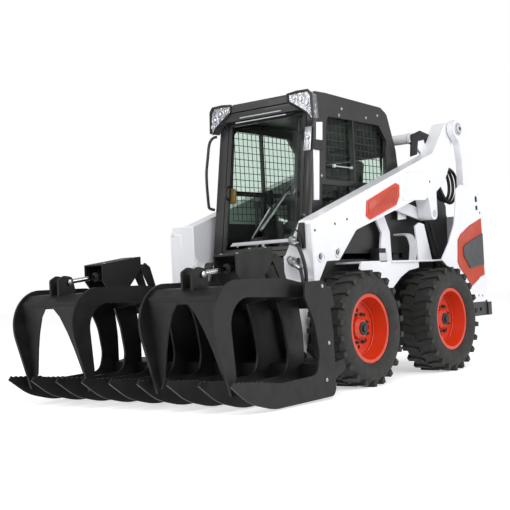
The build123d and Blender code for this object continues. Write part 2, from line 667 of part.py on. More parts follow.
def make_grapple_frame():
    """Rake: end plates, tines, beams, back plate and the brackets of claws and cylinders."""
    with BuildPart() as half:
        slab(END_PLATE, RAKE_X - PLATE, RAKE_X)
        for x in TINE_X:
            slab(TINE, x - TINE_T / 2, x + TINE_T / 2)
        slab(OUTER_TINE, OUTER_TINE_X - TINE_T / 2, OUTER_TINE_X + TINE_T / 2)
        slab([on_attach(575, 0), on_attach(460, 0), (-625, 530), (-650, 650)], 0, RAKE_X - 5)
        slab([on_attach(75, 0), on_attach(135, 0), (-650, 205), (-650, 95)], 0, RAKE_X - 5)
        slab([on_attach(20, 0), on_attach(480, 0), on_attach(480, -10), on_attach(20, -10)], 0, ATTACH_X)
        slab(ROD_WINDOW, ROD_WINDOW_X[1], ROD_WINDOW_X[1] + ROD_WINDOW_W, mode=Mode.SUBTRACT)
        slab([(-600, 652), (-582, 560), (-700, 580), (-800, 615, 20), (-800, 676, 20), (-730, 690, 20)], 236, 250)
        disc(CLAW_PIN, 15, 240, RAKE_X - 5)
        for x in (CLAW_MID - 50, CLAW_MID + 38):
            slab([(-645, 640), (-752, 830), (-715, 868), (-672, 840), (-600, 645)], x, x + 12)
        disc(CLAW_BASE, 15, CLAW_MID - 45, CLAW_MID + 45)
    with BuildPart() as frame:
        add(half.part)
        add(other_side(half.part))
    return frame.part


CLAW_T = 16.0
HOOK = [(-760, 687), (-800, 690), (-960, 719, 300), (FRONT_Y, 719, 215), (FRONT_Y, 455, 300), (-1447, 105),
        (-1424, 108), (-1403, 210, 200), (-1440, 628, 150), (-760, 603)]
CLAW_BEAM = [(-1500, 600), (-1500, 640), (-1440, 684), (-1370, 690), (-1370, 600)]
CLAW_LUG = [(-1455, 660), (-1455, 775, 20), (-1405, 800, 24), (-1345, 790, 24), (-1320, 700), (-1370, 660)]
GUSSET_FOOT = (-1425.0, 120.0)
GUSSET_LEAN = radians(9.0)
GUSSET = [(0, 0), (18, 20), (57, 82), (101, 235), (137, 336), (185, 436), (242, 500), (0, 500)]


def claw_gusset(x, side):
    """Front plate of a claw tine, tapering from the beam to the tip, towards the claw's middle."""
    lie = Plane(origin=(x, *GUSSET_FOOT), x_dir=(1, 0, 0), z_dir=(0, -cos(GUSSET_LEAN), -sin(GUSSET_LEAN)))
    with BuildSketch(lie) as sketch:
        with BuildLine():
            Polyline(*[(side * across, height) for across, height in GUSSET], close=True)
        make_face()
    extrude(sketch.sketch, amount=-10)


def make_claw():
    """Upper claw with two tines, cross beam, cylinder lug and guard (left)."""
    with BuildPart() as claw:
        for x, side in zip(CLAW_TINES, (1, -1)):
            slab(HOOK, x - CLAW_T / 2, x + CLAW_T / 2)
            disc(CLAW_PIN, 42, x - CLAW_T / 2, x + CLAW_T / 2)
            claw_gusset(x, side)
        first, last = CLAW_TINES
        disc(CLAW_PIN, 32, first, last)
        slab(CLAW_BEAM, first, last)
        disc((-1000, 660), 22, first, last)
        for x in (CLAW_MID - 44, CLAW_MID + 28):
            slab(CLAW_LUG, x, x + 16)
        for x in (CLAW_MID - 85, CLAW_MID + 77):
            slab([(-1130, 756), (-1130, 864), (-790, 908), (-790, 830), (-960, 650), (-1040, 650)], x, x + 8)
        slab([(-1130, 856), (-1130, 864), (-790, 908), (-790, 900)], CLAW_MID - 85, CLAW_MID + 85)
        disc(CLAW_PIN, 15 + PIN_FIT, first - 20, last + 20, mode=Mode.SUBTRACT)
    return claw.part


# ---- build and save ---------------------------------------------------------
LEFT_AND_RIGHT = {
    "side_frame": make_side_frame(),
    "work_lamp": make_lamp(),
    "side_screen": make_side_screen(),
    "control_lever": make_lever(),
    "front_link": make_front_link(),
    "rear_link": make_rear_link(),
    "lift_barrel": make_barrel(LIFT_BASE, LIFT_EYE, CYL_X, 33, 22, 640, 42, PIN_R + PIN_FIT, 30),
    "lift_rod": make_rod(LIFT_BASE, LIFT_EYE, CYL_X, 21, 60, 34, 30),
    "tilt_barrel": make_barrel(TILT_BASE, TILT_EYE, TILT_X, 34, 18, 385, 36, PIN_R + PIN_FIT, 32),
    "tilt_rod": make_rod(TILT_BASE, TILT_EYE, TILT_X, 17, 115, 30, 30),
    "claw": make_claw(),
    "claw_barrel": make_barrel(CLAW_BASE, CLAW_EYE, CLAW_MID, 30, 16, 405, 30, 15 + PIN_FIT, 26),
    "claw_rod": make_rod(CLAW_BASE, CLAW_EYE, CLAW_MID, 15, 245, 24, 26),
}
CENTRAL = {
    "main_frame": make_main_frame(),
    "rear_bumper": make_bumper(),
    "engine_block": make_engine(),
    "engine_hood": make_hood(),
    "tailgate": make_tailgate(),
    "cab_frame": make_cab_frame(),
    "cab_roof": make_roof(),
    "cab_door": make_door(),
    "door_glass": make_door_glass(),
    "rear_glass": make_rear_glass(),
    "seat": make_seat(),
    "lap_bar": make_lap_bar(),
    "lift_arms": make_lift_arms(),
    "quick_attach": make_quick_attach(),
    "grapple_frame": make_grapple_frame(),
}
for name, piece in CENTRAL.items():
    save(piece, name)
for name, piece in LEFT_AND_RIGHT.items():
    save(piece, f"{name}_left")
    save(other_side(piece), f"{name}_right")
for place, y in (("front", 0.0), ("rear", WHEELBASE)):
    for name, piece in (("tyre", make_tyre()), ("rim", make_rim())):
        save(Pos(0, y, 0) * piece, f"{name}_{place}_left")
        save(Pos(0, y, 0) * other_side(piece), f"{name}_{place}_right")
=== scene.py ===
"""Looks of the skid steer loader and its root grapple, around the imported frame.

Metres, +Z up, the front looks along -Y and the machine's left is +X. Lengths typed in
here are millimetres from the front axle line, on the ground, at the middle of the machine;
place() turns them into the frame's metres.
"""
from math import cos, radians, sin

import bpy
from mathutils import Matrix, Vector


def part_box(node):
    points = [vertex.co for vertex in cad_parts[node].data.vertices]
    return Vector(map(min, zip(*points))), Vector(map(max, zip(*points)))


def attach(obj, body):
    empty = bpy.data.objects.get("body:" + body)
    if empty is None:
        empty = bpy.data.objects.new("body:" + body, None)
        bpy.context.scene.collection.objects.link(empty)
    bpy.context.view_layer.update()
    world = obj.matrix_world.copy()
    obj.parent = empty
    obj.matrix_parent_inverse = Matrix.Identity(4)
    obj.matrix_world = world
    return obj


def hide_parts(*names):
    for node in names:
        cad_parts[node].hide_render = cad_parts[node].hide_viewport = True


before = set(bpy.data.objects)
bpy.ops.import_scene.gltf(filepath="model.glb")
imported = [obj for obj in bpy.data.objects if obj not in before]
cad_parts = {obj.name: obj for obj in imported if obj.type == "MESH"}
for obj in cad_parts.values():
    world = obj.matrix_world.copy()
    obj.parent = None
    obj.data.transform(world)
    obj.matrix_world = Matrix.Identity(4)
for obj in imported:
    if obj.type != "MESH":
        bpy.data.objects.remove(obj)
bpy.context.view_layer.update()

MM = 0.001
WELD = 0.00005  # metres within which the loose corners of a CAD copy are one
SIDES = (("left", 1), ("right", -1))


def axle(rim):
    """Where a wheel turns, along the machine and above the ground, in millimetres of the frame."""
    low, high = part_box(rim)
    return (low.y + high.y) / 2 / MM, (low.z + high.z) / 2 / MM


def left_face(node):
    """How far a node reaches to the left, in millimetres."""
    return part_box(node)[1].x / MM


AXLE_Y, AXLE_Z = axle("rim_front_left")
WHEELBASE = axle("rim_rear_left")[0] - AXLE_Y
CAB_SIDE = left_face("cab_frame")
TOWER_SIDE = left_face("side_frame_left")
GRAPPLE_SIDE = left_face("grapple_frame")
LINK_SIDE = left_face("rear_link_left")
ARM_SIDE = 610  # outer face of the arms' long boxes, inside the eyes that the box of the node holds
LEG_FRONT = -346  # front face of the arms' legs, ahead of the axle
TYRE_MIDDLE = 673  # middle of a tyre's tread from the middle of the machine
# Pins and tubes across the machine, as y and z of their middle.
TOP_PIN = (1535, 1800)  # arm to rear link
FOOT_PIN = (1540, 960)  # rear link to tower
CROSS_TUBE = (1150, 1720)
CLAW_HINGE = (-760, 645)
CLAW_EYE = (-1370, 757)  # claw to the rod of its cylinder


def place(x, y, z):
    """A point in the frame's metres from millimetres off the front axle line."""
    return Vector((x * MM, (y + AXLE_Y) * MM, z * MM))


# ---- camera and lamps ----------------------------------------------------------
CAMERA_SPOT = (4338, -5542, 688)
CAMERA_TURN = (38.93, 1.65, -2.84)  # degrees to the left, up and of roll, from straight along +Y
LENS, SENSOR = 72.32, 36


def set_camera():
    """Long lens from ahead of the machine's left front corner, a little above the knee."""
    yaw, pitch, roll = map(radians, CAMERA_TURN)
    ahead = Vector((-sin(yaw) * cos(pitch), cos(yaw) * cos(pitch), sin(pitch)))
    right = ahead.cross(Vector((0, 0, 1))).normalized()
    up = right.cross(ahead)
    turned_right = cos(roll) * right + sin(roll) * up
    turned_up = turned_right.cross(ahead)
    camera = bpy.data.objects.new("camera", bpy.data.cameras.new("camera"))
    bpy.context.scene.collection.objects.link(camera)
    matrix = camera.matrix_world.copy()
    for column, axis in enumerate((turned_right, turned_up, -ahead)):
        for row in range(3):
            matrix[row][column] = axis[row]
    matrix.translation = place(*CAMERA_SPOT)
    camera.matrix_world = matrix
    camera.data.sensor_width = SENSOR
    camera.data.lens = LENS
    camera.data.clip_end = 100
    bpy.context.scene.camera = camera


def area_light(name, location, target, size, power):
    """One soft box aimed at a point."""
    data = bpy.data.lights.new(name, "AREA")
    data.shape = "RECTANGLE"
    data.size, data.size_y = size
    data.energy = power
    lamp = bpy.data.objects.new(name, data)
    bpy.context.scene.collection.objects.link(lamp)
    lamp.location = location
    lamp.rotation_euler = (Vector(target) - Vector(location)).to_track_quat("-Z", "Y").to_euler()


# ---- materials -----------------------------------------------------------------
def linear(code):
    """sRGB hex to the linear colour that shaders take."""
    channels = [int(code[i:i + 2], 16) / 255 for i in (0, 2, 4)]
    return [c / 12.92 if c <= 0.04045 else ((c + 0.055) / 1.055) ** 2.4 for c in channels] + [1]


def add(tree, kind, links=(), **settings):
    """Add a node with its settings and its links."""
    node = tree.nodes.new(kind)
    for key, value in settings.items():
        label = key.replace("_", " ").title()
        if label in node.inputs:
            node.inputs[label].default_value = value
        else:
            setattr(node, key, value)
    for socket, source in links:
        tree.links.new(source, node.inputs[socket])
    return node


def finish(name, colour, worn, patch, rough, grain, bump, metallic=0.0, ior=1.5, coat=0.0, **more):
    """A finish: two tones in patches, roughness that drifts between two values, and a fine relief.

    patch and grain are the sizes in millimetres of the patches and of the relief, bump its depth.
    """
    material = bpy.data.materials.new(name)
    material.use_nodes = True
    tree = material.node_tree
    shader = tree.nodes["Principled BSDF"]
    where = add(tree, "ShaderNodeTexCoord").outputs["Object"]
    clouds = add(tree, "ShaderNodeTexNoise", [("Vector", where)], Scale=1 / (patch * MM), Detail=4.0)
    relief = add(tree, "ShaderNodeTexNoise", [("Vector", where)], Scale=1 / (grain * MM), Detail=2.0)
    tone = add(tree, "ShaderNodeMix", [("Factor", clouds.outputs["Fac"])], data_type="RGBA")
    tone.inputs["A"].default_value = linear(colour)
    tone.inputs["B"].default_value = linear(worn)
    gloss = add(tree, "ShaderNodeMapRange", [("Value", clouds.outputs["Fac"])])
    gloss.inputs["From Min"].default_value = 0.3
    gloss.inputs["From Max"].default_value = 0.7
    gloss.inputs["To Min"].default_value = rough[0]
    gloss.inputs["To Max"].default_value = rough[1]
    dents = add(tree, "ShaderNodeBump", [("Height", relief.outputs["Fac"])], Distance=bump * MM, Strength=1.0)
    tree.links.new(tone.outputs["Result"], shader.inputs["Base Color"])
    tree.links.new(gloss.outputs["Result"], shader.inputs["Roughness"])
    tree.links.new(dents.outputs["Normal"], shader.inputs["Normal"])
    shader.inputs["Metallic"].default_value = metallic
    shader.inputs["IOR"].default_value = ior
    shader.inputs["Coat Weight"].default_value = coat
    for socket, value in more.items():
        shader.inputs[socket.replace("_", " ")].default_value = value
    return material


# Baked white enamel over steel: bright, with a soft even gloss.
white_enamel = finish("baked_white_enamel", "F0F1F5", "E8E9EE", 180, (0.30, 0.42), 3, 0.05, coat=0.25)
# Semi-gloss black enamel of the cab, smoother and a touch browner than the grapple's.
black_enamel = finish("black_cab_enamel", "191919", "20201F", 120, (0.32, 0.48), 3, 0.05, coat=0.15)
# Dark grey sheet metal of frame and hood.
grey_enamel = finish("dark_grey_enamel", "232425", "2B2B2C", 150, (0.45, 0.6), 3, 0.06)
# Pale grey paint of the cross tube and small brackets.
pale_enamel = finish("pale_grey_enamel", "C9CACE", "B9BABF", 60, (0.35, 0.5), 3, 0.05)
# Satin black paint on thick laser cut plate: it scuffs to grey.
black_plate = finish("satin_black_plate", "0E0E0E", "191918", 90, (0.36, 0.6), 2, 0.12,
                     Specular_IOR_Level=0.3)
# Orange-red enamel of the wheels and the bare badges.
rim_enamel = finish("orange_red_enamel", "D9380F", "C2300D", 60, (0.28, 0.4), 3, 0.05, coat=0.3)
badge_enamel = finish("orange_red_badge", "C43A10", "A42C0A", 90, (0.3, 0.42), 3, 0.05, coat=0.2)
# Dark grey film on the tower's inner panel.
badge_grey = finish("dark_grey_badge", "4A4B4E", "3C3D40", 60, (0.45, 0.6), 3, 0.08)
# Carbon-black rubber, moulded: matt, a little dusty.
tyre_rubber = finish("moulded_tyre_rubber", "181817", "272624", 40, (0.60, 0.85), 2, 0.25, ior=1.52)
# Rubber cover over wire braid: darker and smoother than a tyre.
hose_rubber = finish("braided_hose_rubber", "161617", "242425", 20, (0.45, 0.65), 1.5, 0.2, ior=1.52)
# Pale sleeve of the heater lines between the wheels.
line_sleeve = finish("pale_line_sleeve", "D5D6D9", "A9ABB0", 14, (0.4, 0.6), 2, 0.2)
# Hard chrome plating on a ground rod.
hard_chrome = finish("ground_hard_chrome", "D9DBDE", "C9CCD0", 30, (0.06, 0.14), 1.5, 0.005, metallic=1.0)
# Bright zinc plating of bolts and couplers, softer than chrome.
zinc_plate = finish("zinc_plated_steel", "C4C6C9", "9B9DA1", 12, (0.22, 0.4), 1.5, 0.02, metallic=1.0)
# Sand cast iron: dark, with a coarse skin.
cast_iron = finish("sand_cast_iron", "2B2C2E", "3A3937", 30, (0.6, 0.8), 2.5, 0.4)
# Vinyl with a pressed leather grain.
seat_vinyl = finish("grained_black_vinyl", "1B1C1E", "26272A", 60, (0.42, 0.58), 2.5, 0.35)
# Moulded ABS, black for grips and seals and amber for a cover.
grip_plastic = finish("moulded_black_plastic", "131315", "1E1E20", 40, (0.4, 0.55), 2, 0.1, ior=1.46)
amber_plastic = finish("moulded_amber_plastic", "C99A4E", "B08444", 30, (0.35, 0.5), 2, 0.1, ior=1.46)
# Clear red acrylic of the tail lamps.
red_plastic = finish("moulded_red_lens", "A31512", "8A100E", 12, (0.15, 0.25), 6, 0.4, ior=1.49, coat=0.6)
# Clear polycarbonate over a bright faceted reflector.
lamp_lens = finish("faceted_lamp_reflector", "B9BBC2", "1E2024", 26, (0.05, 0.2), 34, 9.0,
                   metallic=0.8, coat=1.0)
# Laminated glass with a faint green cast.
pane_glass = finish("tinted_cab_glass", "E6F0EA", "DFEBE4", 200, (0.01, 0.03), 50, 0.0, ior=1.12,
                    Transmission_Weight=1.0)

CAD_FINISH = {
    "main_frame": grey_enamel, "side_frame": white_enamel, "rear_bumper": black_enamel,
    "engine_block": cast_iron, "engine_hood": grey_enamel, "tailgate": white_enamel,
    "cab_frame": black_enamel, "cab_roof": black_enamel, "cab_door": black_enamel, "door_glass": pane_glass,
    "rear_glass": pane_glass, "side_screen": pane_glass, "work_lamp": lamp_lens, "seat": seat_vinyl,
    "lap_bar": grip_plastic, "control_lever": grip_plastic, "lift_arms": white_enamel,
    "front_link": white_enamel, "rear_link": white_enamel, "lift_barrel": black_enamel,
    "tilt_barrel": black_enamel, "claw_barrel": black_plate, "lift_rod": hard_chrome, "tilt_rod": hard_chrome,
    "claw_rod": hard_chrome, "quick_attach": black_plate, "grapple_frame": black_plate, "claw": black_plate,
    "tyre_front": tyre_rubber, "tyre_rear": tyre_rubber, "rim_front": rim_enamel, "rim_rear": rim_enamel,
}


def dress_nodes():
    """Give every CAD node its finish."""
    for name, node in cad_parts.items():
        plain = name.removesuffix("_left").removesuffix("_right")
        node.data.materials.clear()
        node.data.materials.append(CAD_FINISH[plain])


# ---- floor and backdrop --------------------------------------------------------
def add_ray_test(tree):
    """The ray node, and 1 for rays straight from the camera or through glass."""
    path = add(tree, "ShaderNodeLightPath")
    clear = add(tree, "ShaderNodeMath", [(0, path.outputs["Is Camera Ray"]),
                                         (1, path.outputs["Is Transmission Ray"])], operation="MAXIMUM")
    return path, clear.outputs[0]


def make_stage():
    """Pale floor that keeps the shadow and shows white round it."""
    begin()
    bpy.ops.mesh.primitive_plane_add(size=60, location=(0, 0, 0))
    floor = bpy.context.object
    floor.name = "floor"
    material = bpy.data.materials.new("floor")
    material.use_nodes = True
    tree = material.node_tree
    shader = tree.nodes["Principled BSDF"]
    shader.inputs["Base Color"].default_value = (0.85, 0.85, 0.86, 1)
    shader.inputs["Roughness"].default_value = 0.9
    path, clear = add_ray_test(tree)
    seen = add(tree, "ShaderNodeMath", [(0, clear), (1, path.outputs["Is Glossy Ray"])], operation="MAXIMUM")
    glow = add(tree, "ShaderNodeEmission", [("Strength", seen.outputs[0])])
    glow.inputs["Color"].default_value = (0.5, 0.5, 0.5, 1)
    both = add(tree, "ShaderNodeAddShader")
    tree.links.new(shader.outputs[0], both.inputs[0])
    tree.links.new(glow.outputs[0], both.inputs[1])
    tree.links.new(both.outputs[0], tree.nodes["Material Output"].inputs["Surface"])
    floor.data.materials.append(material)


def set_world():
    """Even grey light all round, white where the camera looks past the floor."""
    world = bpy.data.worlds.new("studio")
    bpy.context.scene.world = world
    world.use_nodes = True
    tree = world.node_tree
    background = tree.nodes["Background"]
    background.inputs["Color"].default_value = (1, 1, 1, 1)
    _, clear = add_ray_test(tree)
    seen = add(tree, "ShaderNodeMapRange", [("Value", clear)])
    seen.inputs["To Min"].default_value = 0.55
    seen.inputs["To Max"].default_value = 1.0
    tree.links.new(seen.outputs["Result"], background.inputs["Strength"])


# ---- modelling helpers ---------------------------------------------------------
def begin():
    """Object mode with nothing selected."""
    if bpy.context.object and bpy.context.object.mode != "OBJECT":
        bpy.ops.object.mode_set(mode="OBJECT")
    bpy.ops.object.select_all(action="DESELECT")


def pick(piece):
    """Select one piece alone and make it the active one."""
    begin()
    piece.select_set(True)
    bpy.context.view_layer.objects.active = piece


def set_origin(piece):
    """Put the object at the origin with its place in its mesh."""
    pick(piece)
    bpy.ops.object.transform_apply(location=True, rotation=True, scale=True)


def upright(x, corners):
    """Corners given as (y, z), stood in the upright plane at x."""
    return [(x, y, z) for y, z in corners]


def modify(piece, kind, **settings):
    """Add a modifier and apply it."""
    modifier = piece.modifiers.new(kind.lower(), kind)
    for key, value in settings.items():
        setattr(modifier, key, value)
    bpy.context.view_layer.objects.active = piece
    bpy.ops.object.modifier_apply(modifier=modifier.name)


def block(low, high):
    """A rectangular blank between two corners in millimetres."""
    begin()
    low, high = place(*low), place(*high)
    bpy.ops.mesh.primitive_cube_add(size=1, location=(low + high) / 2, scale=high - low)
    piece = bpy.context.object
    set_origin(piece)
    return piece


def side_block(turn, low, high):
    """A blank on the left side, or its like on the right side where turn is -1."""
    near, far = sorted((turn * low[0], turn * high[0]))
    return block((near, *low[1:]), (far, *high[1:]))


def bar(start, end, radius, corners=24):
    """A round bar between two points in millimetres."""
    begin()
    start, end = place(*start), place(*end)
    turn = (end - start).to_track_quat("Z", "Y").to_euler()
    bpy.ops.mesh.primitive_cylinder_add(vertices=corners, radius=radius * MM, depth=(end - start).length,
                                        location=(start + end) / 2, rotation=turn)
    piece = bpy.context.object
    set_origin(piece)
    return piece


def plate(outline, thickness):
    """A plate cut to an outline of points in millimetres and thickened along a vector."""
    begin()
    bpy.ops.mesh.primitive_circle_add(vertices=len(outline), fill_type="NGON")
    piece = bpy.context.object
    for vertex, point in zip(piece.data.vertices, outline):
        vertex.co = place(*point)
    bpy.ops.object.mode_set(mode="EDIT")
    bpy.ops.mesh.select_all(action="SELECT")
    bpy.ops.mesh.extrude_region_move(TRANSFORM_OT_translate={"value": Vector(thickness) * MM})
    bpy.ops.mesh.select_all(action="SELECT")
    bpy.ops.mesh.normals_make_consistent(inside=False)
    bpy.ops.object.mode_set(mode="OBJECT")
    return piece


def join(pieces):
    """Weld several pieces into one object."""
    begin()
    for piece in pieces:
        piece.select_set(True)
    bpy.context.view_layer.objects.active = pieces[0]
    if len(pieces) > 1:
        bpy.ops.object.join()
    return bpy.context.object


def done(piece, name, body, material, edge=0.0):
    """Round its edges, name it, paint it and let it ride on its body."""
    if edge:
        modify(piece, "BEVEL", width=edge * MM, segments=2, limit_method="ANGLE", angle_limit=radians(40))
    pick(piece)
    bpy.ops.object.shade_smooth_by_angle(angle=radians(35))
    piece.name = piece.data.name = name
    piece.data.materials.clear()
    piece.data.materials.append(material)
    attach(piece, body)
    return piece


def trace(points, steps):
    """A curve through points in millimetres: straight for 0 steps, else smooth in that many between two."""
    begin()
    bpy.ops.curve.primitive_nurbs_path_add(location=(0, 0, 0))
    piece = bpy.context.object
    piece.data.splines.clear()
    spline = piece.data.splines.new("NURBS" if steps else "POLY")
    spline.points.add(len(points) - 1)
    for point, where in zip(spline.points, points):
        point.co = (*place(*where), 1)
    if steps:
        spline.order_u = 3
        spline.use_endpoint_u = True
        spline.resolution_u = steps
    piece.data.dimensions = "3D"
    return piece


def make_round(piece, radius, fineness):
    """Give a curve a round section with closed ends."""
    piece.data.bevel_depth = radius * MM
    piece.data.bevel_resolution = fineness
    piece.data.use_fill_caps = True


def pipe(points, radius, soft=True):
    """A bent round bar through points in millimetres, made a mesh."""
    piece = trace(points, 6 if soft else 0)
    make_round(piece, radius, 3)
    bpy.ops.object.convert(target="MESH")
    return bpy.context.object


def hose(name, points, diameter, body, material):
    """A hose with both ends in the machine, one smooth curve along its route's points."""
    piece = trace(points, 12)
    line = bpy.data.meshes.new_from_object(piece)
    bpy.data.meshes.remove(line)
    make_round(piece, diameter / 2, 4)
    piece.name = piece.data.name = name
    piece.data.materials.append(material)
    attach(piece, body)


def bolts(name, body, spots, radius=9, rise=5, along=(1, 0, 0)):
    """Hexagon bolt heads on washers, standing off a face along an axis."""
    way = Vector(along)
    heads = []
    for spot in map(Vector, spots):
        heads.append(bar(spot - way, spot + way * rise * 0.35, radius * 1.35, 16))
        heads.append(bar(spot, spot + way * rise, radius, 6))
    done(join(heads), name, body, zinc_plate, 0.6)


def cut(piece, cutters):
    """Cut several blanks out of a piece."""
    for blank in cutters:
        modify(piece, "BOOLEAN", operation="DIFFERENCE", solver="EXACT", object=blank)
        bpy.data.objects.remove(blank)


def ring(centre, major, minor, axis=(1, 0, 0), parts=32):
    """A round bead about an axis."""
    begin()
    turn = Vector(axis).to_track_quat("Z", "Y").to_euler()
    bpy.ops.mesh.primitive_torus_add(location=place(*centre), rotation=turn, major_radius=major * MM,
                                     minor_radius=minor * MM, major_segments=parts, minor_segments=8)
    piece = bpy.context.object
    set_origin(piece)
    return piece


def inset_tray(outline, thickness, rim, sink):
    """A plate whose face is inset by rim and sunk, like a pressed tray."""
    piece = plate(outline, thickness)
    way = Vector(thickness).normalized()
    pick(piece)
    bpy.ops.object.mode_set(mode="EDIT")
    bpy.ops.mesh.select_all(action="DESELECT")
    bpy.ops.object.mode_set(mode="OBJECT")
    face = max(piece.data.polygons, key=lambda item: item.center.dot(way) + item.normal.dot(way))
    face.select = True
    bpy.ops.object.mode_set(mode="EDIT")
    bpy.ops.mesh.select_mode(type="FACE")
    bpy.ops.mesh.inset(thickness=rim * MM, depth=0)
    bpy.ops.mesh.inset(thickness=sink * MM, depth=-sink * MM)
    bpy.ops.object.mode_set(mode="OBJECT")
    return piece


def copy_node(name):
    """A welded copy of a CAD node, ready to be cut."""
    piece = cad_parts[name].copy()
    piece.data = piece.data.copy()
    bpy.context.scene.collection.objects.link(piece)
    pick(piece)
    bpy.ops.object.mode_set(mode="EDIT")
    bpy.ops.mesh.select_all(action="SELECT")
    bpy.ops.mesh.remove_doubles(threshold=WELD)
    bpy.ops.object.mode_set(mode="OBJECT")
    return piece


# ---- cab shell and windows -----------------------------------------------------
# Corners (y, z) of the side windows: two low ones under the mid rail and two tall ones over it.
LOWER_WINDOWS = (((40, 1130), (54, 1335), (440, 1335), (440, 1130)),
                 ((480, 1130), (480, 1335), (770, 1335), (770, 1130)))
UPPER_WINDOWS = (((98, 1368), (146, 1775), (170, 1800), (462, 1800), (462, 1368)),
                 ((476, 1368), (476, 1800), (806, 1795), (900, 1690), (878, 1420), (850, 1368)))
DOOR_OPENING = (312, 935, 1812)  # half width, sill and head


def make_cab_shell():
    """The cab shell and its door with their full window openings, and the panes in them."""
    shell = copy_node("cab_frame")
    cutters = []
    for _, turn in SIDES:
        for window in LOWER_WINDOWS + UPPER_WINDOWS:
            cutters.append(plate(upright(turn * 360, window), (turn * 90, 0, 0)))
    cut(shell, cutters)
    door = copy_node("cab_door")
    half, sill, head = DOOR_OPENING
    cut(door, [plate([(-half, -300, sill), (half, -300, sill), (half, -300, head), (-half, -300, head)],
                     (0, 480, 0))])
    done(door, "door_frame", "cab_door", black_enamel)
    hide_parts("cab_door")
    half, sill, head = half + 2, sill - 2, head + 2
    pane = plate([(-half, -101, sill), (half, -101, sill), (half, 39, head), (-half, 39, head)], (0, 6, 0))
    done(pane, "door_pane", "cab_door", pane_glass)
    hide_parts("door_glass")
    done(shell, "cab_shell", "chassis", black_enamel)
    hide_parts("cab_frame")
    for side, turn in SIDES:
        panes = [plate(upright(turn * 392, window), (turn * 5, 0, 0)) for window in LOWER_WINDOWS]
        done(join(panes), f"lower_pane_{side}", "chassis", pane_glass)


# ---- badges and wheels ---------------------------------------------------------
def make_badges():
    """Bare orange-red plates on arms and towers, each a shallow tray with a rim."""
    arm = [(292, 1214), (675, 1351), (721, 1338), (713, 1258), (669, 1197), (323, 1087), (273, 1110)]
    shield = [(1778, 1118), (1580, 1058), (1426, 988), (1381, 946), (1362, 781), (1389, 743), (1573, 595),
              (1678, 638), (1715, 660), (1792, 677)]
    heart = [(1786, 1000), (1498, 916), (1462, 886), (1463, 825), (1557, 729), (1786, 758)]
    middle_y, middle_z = 490, 1225
    inner = [(middle_y + (y - middle_y) * 0.86, middle_z + (z - middle_z) * 0.8) for y, z in arm]
    for side, turn in SIDES:
        badge = inset_tray(upright(turn * ARM_SIDE, arm), (turn * 9, 0, 0), 16, 5)
        done(badge, f"arm_badge_{side}", "lift_arms", rim_enamel, 1.5)
        core = plate(upright(turn * (ARM_SIDE + 1), inner), (turn * 5, 0, 0))
        done(core, f"arm_badge_panel_{side}", "lift_arms", badge_enamel, 3)
        badge = inset_tray(upright(turn * TOWER_SIDE, shield), (turn * 5, 0, 0), 16, 3)
        done(badge, f"tower_badge_{side}", "chassis", badge_enamel, 1.5)
        core = inset_tray(upright(turn * (TOWER_SIDE + 2), heart), (turn * 6, 0, 0), 10, 2)
        done(core, f"tower_panel_{side}", "chassis", badge_grey, 1)


def make_wheel_trim():
    """Wheel nuts on studs, hub cap, and the moulded rings of tyre and rim."""
    nut_count, nut_circle = 8, 96
    disc, hub = 682, 716  # outer faces of the rim's disc and of the hub, from the middle of the machine
    for position, base in (("front", 0.0), ("rear", WHEELBASE)):
        for side, turn in SIDES:
            body = f"wheel_{position}_{side}"
            nuts = []
            for number in range(nut_count):
                angle = radians(360 / nut_count * (number + 0.5))
                y, z = base + nut_circle * cos(angle), AXLE_Z + nut_circle * sin(angle)
                nuts.append(bar((turn * disc, y, z), (turn * (disc + 18), y, z), 12, 6))
                nuts.append(bar((turn * (disc + 2), y, z), (turn * (disc + 30), y, z), 7, 12))
            done(join(nuts), f"wheel_nuts_{position}_{side}", body, cast_iron, 1)
            cap = [bar((turn * hub, base, AXLE_Z), (turn * (hub + 16), base, AXLE_Z), 44, 32),
                   bar((turn * (hub + 14), base, AXLE_Z), (turn * (hub + 30), base, AXLE_Z), 26, 32)]
            done(join(cap), f"hub_cap_{position}_{side}", body, grey_enamel, 3)
            beads = []
            for radius, thick, reach in ((236, 4, 108), (262, 2.5, 124), (300, 3, 124)):
                beads.append(ring((turn * (TYRE_MIDDLE + reach), base, AXLE_Z), radius, thick, parts=64))
            done(join(beads), f"side_wall_rings_{position}_{side}", body, tyre_rubber)
            lip = [ring((turn * 773, base, AXLE_Z), 219, 5, parts=64),
                   ring((turn * (disc + 8), base, AXLE_Z), 172, 4, parts=48)]
            done(join(lip), f"rim_lip_{position}_{side}", body, rim_enamel)


# ---- fittings of the cab -------------------------------------------------------
def make_wire_screens():
    """Welded wire guards inside the side windows, above and below the mid rail."""
    spacing, wire, foot, head = 50, 2.6, 1150, 1795
    for side, turn in SIDES:
        x = turn * 374
        wires = []
        for y in range(70, 880, spacing):
            wires.append(bar((x, y, foot if y < 780 else 1400), (x, y, head), wire, 6))
        for z in range(foot, head - 5, spacing):
            start = 60 + (z - foot) * 0.1  # follows the slope of the front post
            wires.append(bar((x + turn * 4, start, z), (x + turn * 4, 880, z), wire, 6))
        done(join(wires), f"side_guard_{side}", "chassis", black_enamel)


